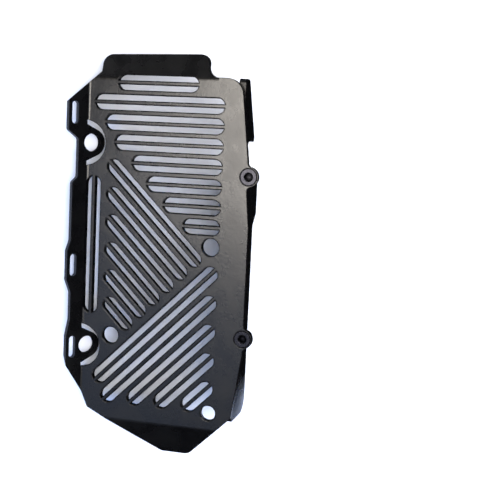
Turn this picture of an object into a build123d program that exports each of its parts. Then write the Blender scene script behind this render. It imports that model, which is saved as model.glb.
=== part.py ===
from build123d import *
import os
from math import atan2, cos, degrees, radians, sin, sqrt, tan

# A radiator guard for one side of a motorcycle: a slotted folded sheet and a bracket screwed behind it.
# It is drawn flat on its face plane: +X to the inner side, +Y to the top, +Z to the front.
# At the end it is laid on its back, as it comes to rest on a table.

# Guard sheet
sheet = 4.0                    # thickness
edge_break = 0.6               # chamfer of the grille's cut edges, on the front
break_angle = 45.0
front_z = sheet / 2
rear_z = -sheet / 2

# Face outline: the bend of the outer flange, the inner edge and the two folds set the rest
bend_x = -64.3                 # where the mid-planes of face and outer flange would meet
edge_x = 56.8                  # inner edge at its widest
tab_fold = 112.2               # fold of the top tab, on the middle line x = 0
bottom_fold = -134.0           # fold of the bottom flange
edge_waist = 2.4               # how far the inner edge draws in beside the upper screw ear
edge_lead = 0.5                # straight edge past the hollow beside a screw ear
edge_slope = 25.0              # length of the slope below the waist
shoulder_rise = 1.9            # flat top edge beside the tab, above the tab's fold
shoulder_inset = 9.0           # top inner corner before its round, from the inner edge
shoulder_radius = 12.0
foot_inset = 6.4               # lower inner corner, from the inner edge
foot_rise = 10.6               # and above the bottom fold
heel_inset = 5.7               # lower outer corner, from the bend
heel_rise = 7.3
corner_radius = 2.0
notch_radius = 3.0             # hollow round where a screw ear leaves the edge

# Top tab and bottom flange, both folded back
fold_angle = 18.0
fold_radius = 8.0              # on the front face
tab_slant = 1.2                # the tab's fold climbs to the inner side by this angle
tab_inset = 9.3                # from the bend
tab_right = 23.2
tab_foot = 3.8                 # foot of the tab's outer side, above the fold
tab_height = (16.0, 17.9)      # above the fold, at the outer and inner corner
tab_radius = 7.0
tab_hollow = 8.0               # hollow round between the tab and the top edge
bottom_length = 21.0
bottom_left = -2.0
bottom_right = 18.4
bottom_radius = 8.0

# Outer flange, bent forward; its outline runs along q, outwards from the bend, and y
# From the top down it has six widths, with a slope between each and the next
flange_angle = 50.0
flange_radius = 2.0            # inside the bend, on the front face
flange_tab = (16.2, 14.8, 13.9)    # widths of the three slotted tabs
flange_neck = (8.2, 12.3, 11.4)    # waist and step below the first tab, step below the second
flange_slopes = ((74.0, 68.0), (41.0, 37.0), (-4.5, -12.0), (-33.0, -42.0), (-62.0, -74.0))
flange_slot_y = (86.3, -22.3, -82.1)
flange_corner = 2.5
flange_slot_length = 16.0
flange_slot_width = 4.9
flange_slot_margin = 2.4       # sheet left outside a flange slot
top_cut_drop = (3.85, 17.7)    # top corner's cut below the tab's fold, at the bend and at the flange's edge
bottom_cut_rise = (13.1, 34.7)     # bottom corner's cut above the lower outer corner, likewise

# Mounting ears, in the flange plane, passing behind round cut-outs of the face
ear_y = (65.5, -81.3)
ear_q = -2.5
ear_hole = 12.8
ear_wall = 3.4
ear_base = 26.0
cutout_radius = 16.0
cutout_offset = 1.7            # centre of a cut-out, outside the bend

# Grille: a pair of slots is a stadium with a bar along its middle
pair_width = 10.6
bar_width = 2.9
pair_pitch = 14.0              # of the rows and of the falling pairs
rising_pitch = 14.53
shortest_pair = 20.0           # a field stops before a shorter pair
inner_band = 20.5              # plain sheet between the slots and the inner edge
field_gap = 5.2                # sheet between one field and the next
row_drop = 3.46                # first row's middle below the tab's fold
row_inset = 4.3                # no row starts nearer to the bend
row_diagonal = 21.0            # rows start near the line x + y = row_diagonal
row_lead = (45.7, 14.6, 8.9, 2.4, 1.8, -0.7, -1.8, -0.7)    # and each this far past it, from the top down
short_row_gap = 6.2            # the first row ends this far before the tab does
upright_cut = 1.3              # the upright pair reaches this far into the bend
upright_top = 42.0
upright_bottom = -56.6
falling_gap = 4.8              # from the upright pair to the falling ones
falling_reach = 27.0           # falling pairs end on the line (x - y) / sqrt(2) = falling_reach
rising_inset = 9.5             # from the bend
rising_floor = 12.4            # sheet left between rising pairs and the bottom fold

# Round holes in the face
edge_hole = 12.3
edge_hole_inset = 0.6          # from the end of the rows' straight edges
edge_hole_drop = 13.7          # below the last row
flange_hole = 12.0
flange_hole_inset = 22.3       # from the bend
flange_hole_drop = 15.0        # below the last falling pair
foot_hole = 10.6
foot_hole_inset = 16.7         # from the lower inner corner
foot_hole_rise = 2.1

# Countersunk screws
thread = 6.0
head = 11.2
head_rim = 0.3
countersink = 12.6             # its mouth at the face, wider than the head, which so lies a little deeper
screw_length = 10.0
socket = 5.0                   # across flats
socket_depth = 2.6
socket_mouth = 6.6
thread_gap = 0.1               # round the thread in the tapped tab
hole_gap = 0.3                 # round the thread in the guard
seat_gap = 0.1                 # between head and countersink

# Screw ears on the inner edge
screw_y = (47.4, -65.7)
screw_inset = (1.6, 0.6)       # from the inner edge
screw_margin = 0.7             # sheet round a countersink

# Inner bracket
bracket_sheet = 5.0
bracket_gap = 0.5              # between the guard's back and the web's front edge
bracket_bend = 1.5             # inside radius
tab_wall = 2.6                 # round the tapped hole
tap_lead = 0.8                 # chamfer at the mouth of the tapped hole
relief = 1.5                   # beside each bend
web_setback = 5.5              # from the upper screw to the web's outer side
arm_rise = 0.2                 # web's upper end above the guard's top edge
web_drop = 4.1                 # web's lower end below the guard's lower inner corner
arm_depth = (13.0, 34.0)       # behind the face plane, at the top and at the notch
arm_end = 71.5
web_notch = 15.0
notch_end = 50.0
heel_depth = 48.0
heel_end = 19.0
web_depth = 39.5
web_step = 11.0
web_corner = 12.0
arm_corner = 3.0

# What follows from these sizes
tab_left = bend_x + tab_inset
tab_foot_y = tab_fold + tab_foot
face_top = tab_fold + shoulder_rise
foot_x = edge_x - foot_inset
foot_y = bottom_fold + foot_rise
heel_x = bend_x + heel_inset
heel_y = bottom_fold + heel_rise
bottom_edge = bottom_fold - bottom_length
field_right = edge_x - inner_band
pair_end = pair_width / 2
row_top = tab_fold - row_drop
row_left = bend_x + row_inset
flange_run = (flange_radius + sheet / 2) * tan(radians(flange_angle / 2))   # bend line to end of bend
bend_end_x = bend_x + flange_run
upright_x = bend_end_x - upright_cut + pair_end
falling_left = upright_x + pair_end + falling_gap
falling_first = row_diagonal / sqrt(2) - field_gap - pair_end      # from the line x + y = 0
rising_left = bend_x + rising_inset
rising_first = falling_reach + field_gap + pair_end                # from the line x = y
slant_end = pair_end * (1 - 1 / sqrt(2))       # a slanted pair reaches this far past its tips, in x and in y
screw_ear = countersink + 2 * screw_margin
screw_places = [(edge_x - inset, y) for inset, y in zip(screw_inset, screw_y)]
cut_reach = tab_fold - bottom_fold             # longer than any cut needs
fold_run = fold_radius * tan(radians(fold_angle / 2))              # start of a fold's bend to its fold line
on_rim = 0.01                                  # a corner this near a screw ear's rim is on it


def outline(*corners):
    # A closed outline from corners (x, y, radius)
    points = [(x, y) for x, y, radius in corners]
    return make_face(FilletPolyline(*points, radius=[radius for x, y, radius in corners], close=True))


def slot_pair(start, end):
    # The two slots of a pair between the outer ends of its stadium
    run = Vector(*end) - Vector(*start)
    middle = (Vector(*end) + Vector(*start)) / 2
    angle = degrees(atan2(run.Y, run.X))
    pair = SlotOverall(run.length, pair_width) - Rectangle(run.length, bar_width)
    return Pos(middle) * Rot(0, 0, angle) * pair


def through(sketch):
    return extrude(sketch, amount=cut_reach, both=True)


# Grille: rows on top, falling pairs below them, rising pairs at the bottom, one upright pair
rows = []
for count, lead in enumerate(row_lead):
    y = row_top - count * pair_pitch
    left = max(row_left, row_diagonal - y + lead)
    right = field_right if count else tab_right - short_row_gap
    rows.append(slot_pair((left, y), (right, y)))
    last_row = y

falling = []
start_x = falling_left + slant_end
line = falling_first
end_x = (line + falling_reach) / sqrt(2)
while (end_x - start_x) * sqrt(2) >= shortest_pair:
    total = line * sqrt(2)                     # x + y along this pair
    falling.append(slot_pair((start_x, total - start_x), (end_x, total - end_x)))
    last_falling = line
    line -= pair_pitch
    end_x = (line + falling_reach) / sqrt(2)

rising = []
low_y = bottom_fold + rising_floor + slant_end
end_x = field_right - slant_end
line = rising_first
start_x = max(rising_left + slant_end, line * sqrt(2) + low_y)
while (end_x - start_x) * sqrt(2) >= shortest_pair:
    difference = line * sqrt(2)                # x - y along this pair
    rising.append(slot_pair((start_x, start_x - difference), (end_x, end_x - difference)))
    line += rising_pitch
    start_x = max(rising_left + slant_end, line * sqrt(2) + low_y)

upright = slot_pair((upright_x, upright_bottom), (upright_x, upright_top))

# Round holes: at the inner edge, by the lower ear and in the lower inner corner
flange_hole_x = bend_x + flange_hole_inset
flange_hole_y = (last_falling - flange_hole_drop) * sqrt(2) - flange_hole_x
holes = [
    Pos(field_right - pair_end - edge_hole_inset, last_row - edge_hole_drop) * Circle(edge_hole / 2),
    Pos(flange_hole_x, flange_hole_y) * Circle(flange_hole / 2),
    Pos(foot_x - foot_hole_inset, foot_y + foot_hole_rise) * Circle(foot_hole / 2),
]
grille = Sketch() + rows + falling + rising + [upright] + holes


def fold_strip(length):
    # A fold at y = 0 and the sheet that leans back beyond it, from the start of the bend on
    start = Plane(origin=(0, -fold_run, 0), x_dir=(1, 0, 0), z_dir=(0, 1, 0))
    axis = Axis((0, -fold_run, front_z - fold_radius), (-1, 0, 0))
    bent = revolve(start * Rectangle(2 * cut_reach, sheet), axis=axis, revolution_arc=fold_angle)
    return bent + extrude(bent.faces().sort_by(Axis.Y)[-1], amount=2 * length)


# Face, top tab and bottom flange: a flat sheet between two folds, trimmed to the outline
hollow = min(tab_hollow, tab_height[1] - shoulder_rise - 1.1 * tab_radius)   # what the tab's side leaves
fold_end = tab_right + hollow                             # the top edge stays flat from here on
top_fold = Pos(0, tab_fold, 0) * Rot(0, 0, tab_slant)
bottom_turn = Pos(0, bottom_fold, 0) * Rot(0, 0, 180)
upwards = (Align.CENTER, Align.MIN)
past_fold = top_fold * Pos(0, -fold_run) * Rectangle(2 * cut_reach, 2 * cut_reach, align=upwards)
past_fold -= Pos(fold_end, 0) * Rectangle(cut_reach, 4 * cut_reach, align=(Align.MIN, Align.CENTER))
flat = Pos(0, bottom_fold + fold_run) * Rectangle(2 * cut_reach, 2 * cut_reach, align=upwards) - past_fold
folded = extrude(flat, amount=sheet / 2, both=True)
folded += top_fold * fold_strip(max(tab_height)) & through(past_fold)
folded += bottom_turn * fold_strip(bottom_length)
waist_x = edge_x - edge_waist
edge_run = screw_ear / 2 + notch_radius + edge_lead       # from a screw to the next corner of the edge
face = outline(
    (bend_end_x, heel_y, 0),
    (bend_end_x, tab_foot_y, 0),
    (tab_left, tab_foot_y, 0),
    (tab_left, tab_fold + tab_height[0], tab_radius),
    (tab_right, tab_fold + tab_height[1], tab_radius),
    (tab_right, face_top, hollow),
    (edge_x - shoulder_inset, face_top, shoulder_radius),
    (waist_x, screw_y[0] + edge_run, 0),
    (waist_x, screw_y[0] - edge_run, 0),
    (edge_x, screw_y[0] - edge_run - edge_slope, 0),
    (edge_x, screw_y[1] - edge_run, 0),
    (foot_x, foot_y, corner_radius),
    (bottom_right, bottom_edge, bottom_radius),
    (bottom_left, bottom_edge, bottom_radius),
    (heel_x, heel_y, 0),
)
for place in screw_places:
    face += Pos(*place) * Circle(screw_ear / 2)
ear_starts = [
    corner
    for corner in face.vertices()
    for place in screw_places
    if abs((Vector(*corner) - Vector(*place)).length - screw_ear / 2) < on_rim
]
face = fillet(ear_starts, notch_radius)
plate = folded & through(face)
plate -= through(grille)
plate -= Pos(0, 0, front_z - edge_break) * extrude(grille, amount=edge_break, taper=-break_angle)

# Outer flange: the bend, the flange sheet and its two ears
outwards = Vector(-cos(radians(flange_angle)), 0, sin(radians(flange_angle)))
flange_plane = Plane(origin=(bend_x, 0, 0), x_dir=outwards, z_dir=outwards.cross(Vector(0, 1, 0)))
bend_axis = Axis((bend_end_x, 0, front_z + flange_radius), (0, 1, 0))
bend_start = Plane(origin=(bend_end_x, 0, 0), x_dir=(0, 1, 0), z_dir=(1, 0, 0))
bend_face = bend_start * Pos((tab_fold + heel_y) / 2, 0) * Rectangle(tab_fold - heel_y, sheet)
bend = revolve(bend_face, axis=bend_axis, revolution_arc=flange_angle) - through(upright)
for y in ear_y:
    opening = Pos(bend_x - cutout_offset, y, 0) * Cylinder(cutout_radius, cut_reach)
    plate -= opening
    bend -= opening

flange_width = (flange_tab[0], flange_neck[0], flange_neck[1], flange_tab[1], flange_neck[2], flange_tab[2])
flange_corners = [(flange_run, heel_y, 0), (flange_run, tab_fold, 0), (flange_width[0], tab_fold, 0)]
for above, below, slope in zip(flange_width, flange_width[1:], flange_slopes):
    flange_corners += [(above, slope[0], flange_corner), (below, slope[1], flange_corner)]
flange_corners.append((flange_width[-1], heel_y, 0))
flange_face = outline(*flange_corners)
ear_radius = ear_hole / 2 + ear_wall
for y in ear_y:
    root = Line((flange_run, y - ear_base / 2), (flange_run, y + ear_base / 2))
    rim = CenterArc((ear_q, y), ear_radius, 0, 360)
    flange_face += make_hull([root, rim])
    flange_face -= Pos(ear_q, y) * Circle(ear_hole / 2)
for width, y in zip(flange_tab, flange_slot_y):
    slot_q = width - flange_slot_margin - flange_slot_width / 2
    flange_face -= Pos(slot_q, y) * Rot(0, 0, 90) * SlotOverall(flange_slot_length, flange_slot_width)
flange = extrude(flange_plane * flange_face, amount=sheet / 2, both=True)


def corner_cut(on_face, bend_y, flange_q, flange_y):
    # What lies outside the plane through a point of the face, one of the bend and one of the flange's edge
    on_bend = Vector(bend_x, bend_y, 0)
    on_flange = Vector(bend_x, flange_y, 0) + outwards * flange_q
    across = (Vector(*on_face) - on_bend).cross(on_flange - on_bend)
    if across.dot(on_bend) < 0:
        across = -across
    outside = Box(cut_reach, cut_reach, cut_reach, align=(Align.CENTER, Align.CENTER, Align.MIN))
    return Plane(origin=on_bend, z_dir=across) * outside


top_bend, top_flange = [tab_fold - drop for drop in top_cut_drop]
top_cut = corner_cut((tab_left, tab_foot_y, 0), top_bend, flange_width[0], top_flange)
beside_tab = Pos(tab_left - cut_reach / 2, tab_fold, 0) * Box(cut_reach, cut_reach, cut_reach)
bottom_bend, bottom_flange = [heel_y + rise for rise in bottom_cut_rise]
bottom_cut = corner_cut((heel_x, heel_y, 0), bottom_bend, flange_width[-1], bottom_flange)
guard = plate + bend + flange - (top_cut & beside_tab) - bottom_cut

# Countersunk holes for the screws
mouth = countersink / 2
rim_end = front_z - (mouth - head / 2 - seat_gap)
head_top = rim_end + head_rim
hole = thread / 2 + hole_gap
from_top = (Align.CENTER, Align.CENTER, Align.MAX)
for x, y in screw_places:
    guard -= Pos(x, y, front_z) * Cone(hole, mouth, mouth - hole, align=from_top)
    guard -= Pos(x, y, front_z) * Cylinder(hole, 2 * sheet, align=from_top)

# Screws
cone_end = rim_end - (head - thread) / 2
screw_profile = Polyline(
    (0, head_top),
    (head / 2, head_top),
    (head / 2, rim_end),
    (thread / 2, cone_end),
    (thread / 2, head_top - screw_length),
    (0, head_top - screw_length),
    close=True,
)
screw = revolve(Plane.XZ * make_face(screw_profile), axis=Axis.Z)
hexagon = RegularPolygon(socket / 2, 6, major_radius=False)
screw -= Pos(0, 0, head_top - socket_depth) * extrude(hexagon, amount=socket_depth)
mouth_depth = (socket_mouth - socket) / 2
screw -= Pos(0, 0, head_top) * Cone(socket / 2, socket_mouth / 2, mouth_depth, align=from_top)
screws = [Pos(x, y, 0) * screw for x, y in screw_places]

# Inner bracket: a web behind the inner edge, with two tabs folded outwards under the screw ears
web_x = screw_places[0][0] - web_setback                # outer side of the web
web_front = rear_z - bracket_gap
tab_back = rear_z - bracket_sheet
bend_z = tab_back - bracket_bend                        # where the bends end in the web
tapped = thread / 2 + thread_gap
tab_half = thread / 2 + tab_wall
web_top = face_top + arm_rise
web_bottom = foot_y - web_drop
web_face = outline(
    (web_top, web_front, arm_corner),
    (web_top, -arm_depth[0], arm_corner),
    (arm_end, -arm_depth[1], arm_corner),
    (arm_end, -web_notch, arm_corner),
    (notch_end, -web_notch, arm_corner),
    (notch_end, -heel_depth, arm_corner),
    (heel_end, -heel_depth, arm_corner),
    (web_step, -web_depth, arm_corner),
    (web_bottom, -web_depth, web_corner),
    (web_bottom, web_front, arm_corner),
)
web_plane = Plane(origin=(web_x, 0, 0), x_dir=(0, 1, 0), z_dir=(1, 0, 0))
for x, y in screw_places:
    gap_depth = web_front - bend_z + relief
    web_face -= Pos(y, web_front - gap_depth / 2) * Rectangle(2 * (tab_half + relief), gap_depth)
    web_face += Pos(y, bend_z - relief / 2) * Rectangle(2 * tab_half, relief)
bracket = extrude(web_plane * web_face, amount=-bracket_sheet)
for x, y in screw_places:
    turn_x = web_x + bracket_bend
    turn = Axis((turn_x, y, bend_z), (0, 1, 0))
    root = Plane(origin=(web_x - bracket_sheet / 2, y, bend_z)) * Rectangle(bracket_sheet, 2 * tab_half)
    bracket += revolve(root, axis=turn, revolution_arc=90)
    tab_face = Pos((turn_x + x) / 2, y) * Rectangle(x - turn_x, 2 * tab_half)
    tab_face += Pos(x, y) * Circle(tab_half)
    tab_face -= Pos(x, y) * Circle(tapped)
    bracket += Pos(0, 0, tab_back) * extrude(tab_face, amount=bracket_sheet)
    bracket -= Pos(x, y, rear_z) * Cone(tapped, tapped + tap_lead, tap_lead, align=from_top)

# Laid on its back, it rests on the tips of both mounting ears and on the heel of the web
ear_tip = ear_q - ear_radius
ear_rest = Vector(bend_x, 0, 0) + outwards * ear_tip + flange_plane.z_dir * (sheet / 2)
heel_rest = Vector(web_x - bracket_sheet, 0, -heel_depth)
rise = ear_rest - heel_rest
lean = Rot(0, -degrees(atan2(rise.Z, -rise.X)), 0)
box = Compound([lean * guard, lean * bracket]).bounding_box()
placed = Pos(-box.center().X, -box.center().Y, -box.min.Z) * lean

os.makedirs("parts", exist_ok=True)
export_step(placed * guard, "parts/front_guard.step")
export_step(placed * bracket, "parts/inner_bracket.step")
export_step(placed * Compound(screws), "parts/bracket_screws.step")
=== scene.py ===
import math

import bpy
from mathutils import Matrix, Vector

# Looks of a radiator guard that lies on its back on white paper: black coat, black screws, soft light
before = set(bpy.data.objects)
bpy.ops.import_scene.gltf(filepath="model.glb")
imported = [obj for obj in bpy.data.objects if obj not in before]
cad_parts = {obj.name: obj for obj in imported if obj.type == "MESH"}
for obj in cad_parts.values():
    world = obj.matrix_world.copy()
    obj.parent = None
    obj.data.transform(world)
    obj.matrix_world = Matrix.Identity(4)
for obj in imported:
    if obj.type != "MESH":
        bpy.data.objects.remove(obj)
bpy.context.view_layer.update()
mm = 0.001
noiseSpan = (0.3, 0.7)                               # most values of a noise texture lie between these
mixShare, mixA, mixB, mixResult = 0, 6, 7, 2         # sockets of a Mix node that mixes colours
print("frame loaded:", len(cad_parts), "nodes")


def linear(hexColour):
    # "#rrggbb" as the linear colour that shaders take
    parts = [int(hexColour[i:i + 2], 16) / 255 for i in (1, 3, 5)]
    return tuple(c / 12.92 if c < 0.04045 else ((c + 0.055) / 1.055) ** 2.4 for c in parts) + (1.0,)


def addNode(tree, kind, settings, links):
    # settings are properties or input values, links are input name: output socket
    node = tree.nodes.new(kind)
    for key, value in settings.items():
        if isinstance(key, str) and hasattr(node, key):
            setattr(node, key, value)
        else:
            node.inputs[key].default_value = value
    for key, socket in links.items():
        tree.links.new(socket, node.inputs[key])
    return node


def newMaterial(name):
    # a plain Principled material and its shader
    material = bpy.data.materials.new(name)
    material.use_nodes = True
    return material, material.node_tree.nodes["Principled BSDF"]


# Powder coat on aluminium: sprayed dry and baked, so satin black with a fine orange peel
powderCoat = {
    "dark": "#010102",
    "light": "#040405",          # where the powder lies thicker
    "cloudMm": 14.0,             # size of the faint clouds in its tone
    "peelMm": 2.2,               # orange peel, drawn coarser than the real 1 mm so that it shows
    "peelDepthMm": 0.045,
    "grainMm": 0.9,              # grains of powder, drawn coarser too
    "grainDepthMm": 0.02,
    "roughness": (0.24, 0.31),
    "edgeMm": 0.5,               # the coat rounds every cut edge; beside it the shine is cut, a painted dark line round each slot
    "rimMm": 1.0,                # and thins beside it, which draws a dark line round each slot
    "rimFade": (0.88, 0.995),    # from the rim to the flat, as the cosine of the rounded edge's tilt
    "rimShine": 0.04,            # share of the shine that is left at the rim
    "shine": 0.5,
}
bracketCoat = dict(powderCoat, shine=0.22)           # the same powder with less shine: painted shade that darkens the bracket's reflections


def makePowderCoat(name, look):
    material, shader = newMaterial(name)
    tree = material.node_tree
    place = addNode(tree, "ShaderNodeTexCoord", {}, {}).outputs["Object"]
    cloud = addNode(tree, "ShaderNodeTexNoise",
                    {"Scale": 1 / (look["cloudMm"] * mm), "Detail": 3.0}, {"Vector": place})
    tone = addNode(tree, "ShaderNodeMix",
                   {"data_type": "RGBA", mixA: linear(look["dark"]), mixB: linear(look["light"])},
                   {mixShare: cloud.outputs["Fac"]})
    gloss = addNode(tree, "ShaderNodeMapRange",
                    {"From Min": noiseSpan[0], "From Max": noiseSpan[1],
                     "To Min": look["roughness"][0], "To Max": look["roughness"][1]},
                    {"Value": cloud.outputs["Fac"]})
    peel = addNode(tree, "ShaderNodeTexNoise",
                   {"Scale": 1 / (look["peelMm"] * mm), "Detail": 1.0}, {"Vector": place})
    grain = addNode(tree, "ShaderNodeTexNoise",
                    {"Scale": 1 / (look["grainMm"] * mm), "Detail": 2.0}, {"Vector": place})
    edge = addNode(tree, "ShaderNodeBevel", {"samples": 6, "Radius": look["edgeMm"] * mm}, {})
    peelBump = addNode(tree, "ShaderNodeBump", {"Strength": 1.0, "Distance": look["peelDepthMm"] * mm},
                       {"Height": peel.outputs["Fac"], "Normal": edge.outputs["Normal"]})
    grainBump = addNode(tree, "ShaderNodeBump", {"Strength": 1.0, "Distance": look["grainDepthMm"] * mm},
                        {"Height": grain.outputs["Fac"], "Normal": peelBump.outputs["Normal"]})
    # painted shade: the shine falls off near every edge, which draws a dark line round each slot
    rim = addNode(tree, "ShaderNodeBevel", {"samples": 8, "Radius": look["rimMm"] * mm}, {})
    flat = addNode(tree, "ShaderNodeNewGeometry", {}, {})
    along = addNode(tree, "ShaderNodeVectorMath", {"operation": "DOT_PRODUCT"},
                    {0: rim.outputs["Normal"], 1: flat.outputs["True Normal"]})
    shine = addNode(tree, "ShaderNodeMapRange",
                    {"From Min": look["rimFade"][0], "From Max": look["rimFade"][1],
                     "To Min": look["rimShine"] * look["shine"], "To Max": look["shine"]},
                    {"Value": along.outputs["Value"]})
    tree.links.new(tone.outputs[mixResult], shader.inputs["Base Color"])
    tree.links.new(gloss.outputs["Result"], shader.inputs["Roughness"])
    shader.inputs["Specular IOR Level"].default_value = look["shine"]     # stays where the link is dropped
    tree.links.new(shine.outputs["Result"], shader.inputs["Specular IOR Level"])
    tree.links.new(grainBump.outputs["Normal"], shader.inputs["Normal"])
    return material


# Black oxide on steel: a thin dark skin over turned metal, oiled, so a soft metal shine;
# painted shade darkens its colour in the socket and round the head
blackOxide = {
    "colour": "#303035",
    # the painted shade colour, in the socket and round the head
    "hollow": "#050506",
    "hollowMm": 3.0,             # how far walls shade the steel
    "hollowFade": (0.7, 1.0),    # open share of what surrounds a point, from shaded to clear
    "roughness": (0.22, 0.36),
    "scuffMm": 0.8,
    "edgeMm": 0.3,
}


def makeBlackOxide(name, look):
    material, shader = newMaterial(name)
    tree = material.node_tree
    shader.inputs["Metallic"].default_value = 1.0
    # painted shade: the colour turns near black where walls close round the steel
    clear = addNode(tree, "ShaderNodeAmbientOcclusion", {"samples": 8, "Distance": look["hollowMm"] * mm}, {})
    shade = addNode(tree, "ShaderNodeMapRange",
                    {"From Min": look["hollowFade"][0], "From Max": look["hollowFade"][1]},
                    {"Value": clear.outputs["AO"]})
    tone = addNode(tree, "ShaderNodeMix",
                   {"data_type": "RGBA", mixA: linear(look["hollow"]), mixB: linear(look["colour"])},
                   {mixShare: shade.outputs["Result"]})
    tree.links.new(tone.outputs[mixResult], shader.inputs["Base Color"])
    place = addNode(tree, "ShaderNodeTexCoord", {}, {}).outputs["Object"]
    scuff = addNode(tree, "ShaderNodeTexNoise",
                    {"Scale": 1 / (look["scuffMm"] * mm), "Detail": 2.0}, {"Vector": place})
    gloss = addNode(tree, "ShaderNodeMapRange",
                    {"From Min": noiseSpan[0], "From Max": noiseSpan[1],
                     "To Min": look["roughness"][0], "To Max": look["roughness"][1]},
                    {"Value": scuff.outputs["Fac"]})
    edge = addNode(tree, "ShaderNodeBevel", {"samples": 6, "Radius": look["edgeMm"] * mm}, {})
    tree.links.new(gloss.outputs["Result"], shader.inputs["Roughness"])
    tree.links.new(edge.outputs["Normal"], shader.inputs["Normal"])
    return material


finishes = {
    "front_guard": makePowderCoat("powderCoatGuard", powderCoat),
    "inner_bracket": makePowderCoat("powderCoatBracket", bracketCoat),
    "bracket_screws": makeBlackOxide("blackOxideScrews", blackOxide),
}
for node, finish in finishes.items():
    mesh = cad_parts[node].data
    mesh.materials.clear()
    mesh.materials.append(finish)
print("finishes on", len(finishes), "nodes")

# Matte paper: uncoated, so it scatters light evenly. The floor is far wider than the view.
# Two cards show only as a sheen, on the web's lower end and on the cut edges of the outer flange
paperRoughness = 0.9
sheets = {
    "paper_floor": {"middleMm": (0.0, 0.0, 0.0), "sizeMm": (8000.0, 8000.0), "turnDeg": 0.0,
                    "colour": "#f4f4f6", "sheen": False},
    "web_card": {"middleMm": (67.5, -108.0, 0.5), "sizeMm": (14.0, 56.0), "turnDeg": 14.0,
                 "colour": "#e9f1ff", "sheen": True},
    "flange_card": {"middleMm": (-120.0, 10.0, 0.5), "sizeMm": (130.0, 300.0), "turnDeg": 0.0,
                    "colour": "#8d929c", "sheen": True},
}
for name, sheet in sheets.items():
    bpy.ops.object.select_all(action="DESELECT")
    bpy.ops.mesh.primitive_plane_add(size=1.0, location=Vector(sheet["middleMm"]) * mm)
    paper = bpy.context.object
    paper.name = name
    paper.scale = (sheet["sizeMm"][0] * mm, sheet["sizeMm"][1] * mm, 1.0)
    paper.rotation_euler.z = math.radians(sheet["turnDeg"])
    material, shader = newMaterial("mattePaper")
    shader.inputs["Base Color"].default_value = linear(sheet["colour"])
    shader.inputs["Roughness"].default_value = paperRoughness
    paper.data.materials.append(material)
    paper.visible_glossy = sheet["sheen"]      # the coat mirrors no floor, so the slots stay black inside
    paper.visible_camera = not sheet["sheen"]
    paper.visible_diffuse = not sheet["sheen"]
    paper.visible_shadow = not sheet["sheen"]
print("paper laid:", len(sheets), "sheets")

# Lights, in metres: the face mirrors only the edge of the softbox on the left, so it fades down and outwards;
# a wide white ceiling lights the paper, with a long blue window along the lower end.
# A light with sheen shows only as a shine, and one without it only lights matte surfaces
under = (0.0, 0.0, 0.0)          # the paper below the guard
middle = (0.0, 0.0, 0.03)        # about the middle of the guard's height
lights = {
    "softbox": {"place": (-0.413, 0.18, 1.0), "aim": (-0.413, 0.18, 0.0), "size": (0.60, 0.485),
                "watts": 14.0, "colour": "#fff7ec", "sheen": True},
    "skyFill": {"place": (-0.963, -0.25, 1.0), "aim": under, "size": (0.8, 1.0),
                "watts": 2.6, "colour": "#c4d8ff", "sheen": True},
    "ceiling": {"place": (0.75, 0.10, 1.3), "aim": (0.30, 0.05, 0.0), "size": (1.2, 1.6),
                "watts": 26.0, "colour": "#fbfbff", "sheen": False},
    "blueWindow": {"place": (-0.25, -0.95, 0.85), "aim": (0.0, -0.05, 0.0), "size": (1.7, 0.5),
                   "watts": 15.0, "colour": "#559fff", "sheen": False},
}

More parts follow.
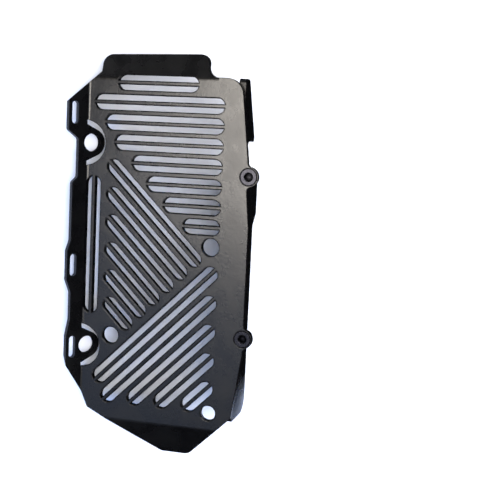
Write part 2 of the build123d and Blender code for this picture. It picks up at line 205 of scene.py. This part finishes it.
# Screens give the coat its sheen when it is seen from the sides
screenLook = {"colour": "#f6f8ff", "sheen": True}
screens = {
    "lowerScreen": {"place": (0.64, -1.23, 1.15), "aim": under, "size": (1.0, 0.8), "watts": 9.0},
    "upperScreen": {"place": (0.64, 1.23, 1.15), "aim": under, "size": (1.0, 0.8), "watts": 9.0},
    "outerScreen": {"place": (-1.26, 0.98, 0.34), "aim": middle, "size": (0.7, 0.5), "watts": 3.0},
    "topScreen": {"place": (0.28, 0.0, 1.5), "aim": under, "size": (0.9, 0.5), "watts": 6.0},
    "outerSill": {"place": (-1.26, -0.98, 0.34), "aim": middle, "size": (0.7, 0.5), "watts": 1.8},
    "upperEnd": {"place": (-0.45, 1.45, 0.52), "aim": middle, "size": (0.7, 0.45), "watts": 2.0},
    "lowerEnd": {"place": (-0.05, -1.52, 0.46), "aim": middle, "size": (0.6, 0.40), "watts": 1.2},
    "lowerSill": {"place": (1.25, -0.60, 0.22), "aim": middle, "size": (0.9, 0.40), "watts": 6.0},
    "upperSill": {"place": (1.15, 0.95, 0.22), "aim": middle, "size": (0.9, 0.40), "watts": 6.0},
}
lights.update({name: {**screenLook, **screen} for name, screen in screens.items()})
for name, lamp in lights.items():
    bpy.ops.object.light_add(type="AREA", location=lamp["place"])
    light = bpy.context.object
    light.name = name
    light.data.shape = "RECTANGLE"
    light.data.size, light.data.size_y = lamp["size"]
    light.data.energy = lamp["watts"]
    light.data.color = linear(lamp["colour"])[:3]
    beam = Vector(lamp["aim"]) - Vector(lamp["place"])
    light.rotation_euler = beam.to_track_quat("-Z", "Y").to_euler()
    light.visible_diffuse = not lamp["sheen"]
    light.visible_glossy = lamp["sheen"]
    light.visible_camera = False

# Tent: pale light from all round, which the coat mirrors as a dark room
tent = {"colour": "#eef1fa", "strength": 1.32, "mirrored": 0.012}
world = bpy.data.worlds.new("lightTent")
world.use_nodes = True
ray = addNode(world.node_tree, "ShaderNodeLightPath", {}, {})
level = addNode(world.node_tree, "ShaderNodeMapRange",
                {"To Min": tent["strength"], "To Max": tent["mirrored"]},
                {"Value": ray.outputs["Is Glossy Ray"]})
back = world.node_tree.nodes["Background"]
back.inputs["Color"].default_value = linear(tent["colour"])
world.node_tree.links.new(level.outputs["Result"], back.inputs["Strength"])
bpy.context.scene.world = world
bpy.context.scene.view_settings.view_transform = "Standard"
print("lights set:", len(lights))

# Camera: a 70 mm lens almost straight above, turned as in the photograph
camera = {"placeMm": (-9.46, 86.77, 714.06), "turnDeg": (-6.857, -5.739, 2.78),
          "lensMm": 70.0, "sensorMm": 36.0, "nearMm": 10.0}
bpy.ops.object.camera_add(location=Vector(camera["placeMm"]) * mm,
                          rotation=[math.radians(turn) for turn in camera["turnDeg"]])
eye = bpy.context.object
eye.data.lens = camera["lensMm"]
eye.data.sensor_width = camera["sensorMm"]
eye.data.clip_start = camera["nearMm"] * mm
bpy.context.scene.camera = eye
print("camera set")
